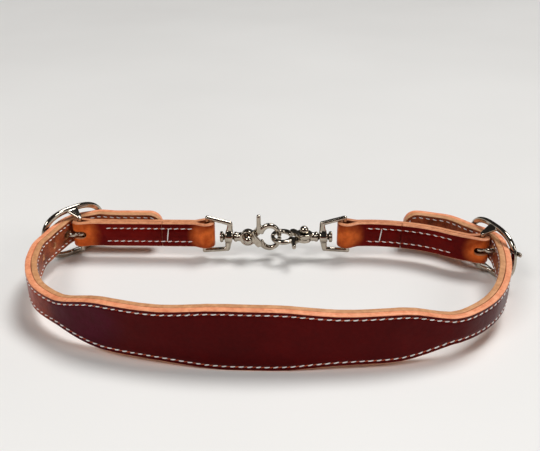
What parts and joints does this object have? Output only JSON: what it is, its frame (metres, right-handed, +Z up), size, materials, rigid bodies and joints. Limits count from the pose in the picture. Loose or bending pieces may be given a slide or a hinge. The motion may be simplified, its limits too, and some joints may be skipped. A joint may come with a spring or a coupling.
{
  "type": "martingale strap",
  "caption": "Shaped two-layer leather strap with stitched edges, buckled tugs and swivel trigger snaps clipped to each other into a closed loop.",
  "frame": {"origin": "middle of the footprint, on the surface that the strap stands on", "axes": "+X across from the left buckle to the right, +Y from the wide front of the strap to the snaps, +Z up"},
  "size_m": [0.3438, 0.1704, 0.0416],
  "materials": {
    "outer_leather": "glossy dark oxblood",
    "lining_leather": "mottled red-brown, semi-matt",
    "tug_leather": "glossy dark oxblood, tan where it folds",
    "plated_steel": "polished bright nickel plate",
    "spring_steel": "plain drawn wire",
    "white_thread": "waxed white thread"
  },
  "bodies": {
    "strap": {"body_outer": "outer_leather", "body_lining": "lining_leather", "top_seam_thread": "white_thread", "bottom_seam_thread": "white_thread", "left_buckle_frame": "plated_steel", "right_buckle_frame": "plated_steel"},
    "left_tongue": {"left_buckle_tongue": "plated_steel"},
    "left_tug": {"left_tug": "tug_leather", "left_tug_top_thread": "white_thread", "left_tug_bottom_thread": "white_thread"},
    "left_eye": {"left_snap_eye": "plated_steel"},
    "left_snap": {"left_snap_body": "plated_steel", "left_snap_rivet": "plated_steel", "left_trigger_spring": "spring_steel"},
    "left_trigger": {"left_snap_trigger": "plated_steel"},
    "right_tongue": {"right_buckle_tongue": "plated_steel"},
    "right_tug": {"right_tug": "tug_leather", "right_tug_top_thread": "white_thread", "right_tug_bottom_thread": "white_thread"},
    "right_eye": {"right_snap_eye": "plated_steel"},
    "right_snap": {"right_snap_body": "plated_steel", "right_snap_rivet": "plated_steel", "right_trigger_spring": "spring_steel"},
    "right_trigger": {"right_snap_trigger": "plated_steel"}
  },
  "joints": [
    {"name": "left_tug_swing", "type": "hinge", "parent": "strap", "child": "left_tug", "pos_m": [-0.14192, 0.05815, 0.0208], "axis": [0, 0, -1], "range_deg": [0, 8]},
    {"name": "right_tug_swing", "type": "hinge", "parent": "strap", "child": "right_tug", "pos_m": [0.1489, 0.03216, 0.0208], "axis": [0, 0, 1], "range_deg": [0, 7.9]},
    {"name": "left_eye_swing", "type": "hinge", "parent": "left_tug", "child": "left_eye", "pos_m": [-0.04894, 0.0562, 0.0202], "axis": [0, 0, 1], "range_deg": [0, 8.1]},
    {"name": "right_eye_swing", "type": "hinge", "parent": "right_tug", "child": "right_eye", "pos_m": [0.05506, 0.0562, 0.0202], "axis": [0, 0, -1], "range_deg": [0, 7.9]},
    {"name": "left_swivel", "type": "hinge", "parent": "left_eye", "child": "left_snap", "pos_m": [-0.03194, 0.0562, 0.018], "axis": [1, 0, 0], "continuous": true},
    {"name": "right_swivel", "type": "hinge", "parent": "right_eye", "child": "right_snap", "pos_m": [0.03806, 0.0562, 0.018], "axis": [1, 0, 0], "continuous": true},
    {"name": "left_trigger_pivot", "type": "hinge", "parent": "left_snap", "child": "left_trigger", "pos_m": [-0.01774, 0.0562, 0.018], "axis": [0, -1, 0], "range_deg": [0, 28], "stiffness_Nm_per_rad": 0.05, "springref_deg": -28.65},
    {"name": "right_trigger_pivot", "type": "hinge", "parent": "right_snap", "child": "right_trigger", "pos_m": [0.02386, 0.0562, 0.018], "axis": [0, 0, 1], "range_deg": [0, 28], "stiffness_Nm_per_rad": 0.05, "springref_deg": -28.65},
    {"name": "left_tongue_lift", "type": "hinge", "parent": "strap", "child": "left_tongue", "pos_m": [-0.14192, 0.05815, 0.0208], "axis": [0, 0, -1], "range_deg": [0, 5]},
    {"name": "right_tongue_lift", "type": "hinge", "parent": "strap", "child": "right_tongue", "pos_m": [0.1489, 0.03216, 0.0208], "axis": [0, 0, 1], "range_deg": [0, 5]}
  ],
  "couplings": [
    {"joint": "right_tug_swing", "follows": "left_tug_swing", "ratio": 0.972},
    {"joint": "left_eye_swing", "follows": "left_tug_swing", "ratio": 1},
    {"joint": "right_eye_swing", "follows": "left_tug_swing", "ratio": 0.972},
    {"joint": "right_swivel", "follows": "left_swivel", "ratio": 1}
  ]
}
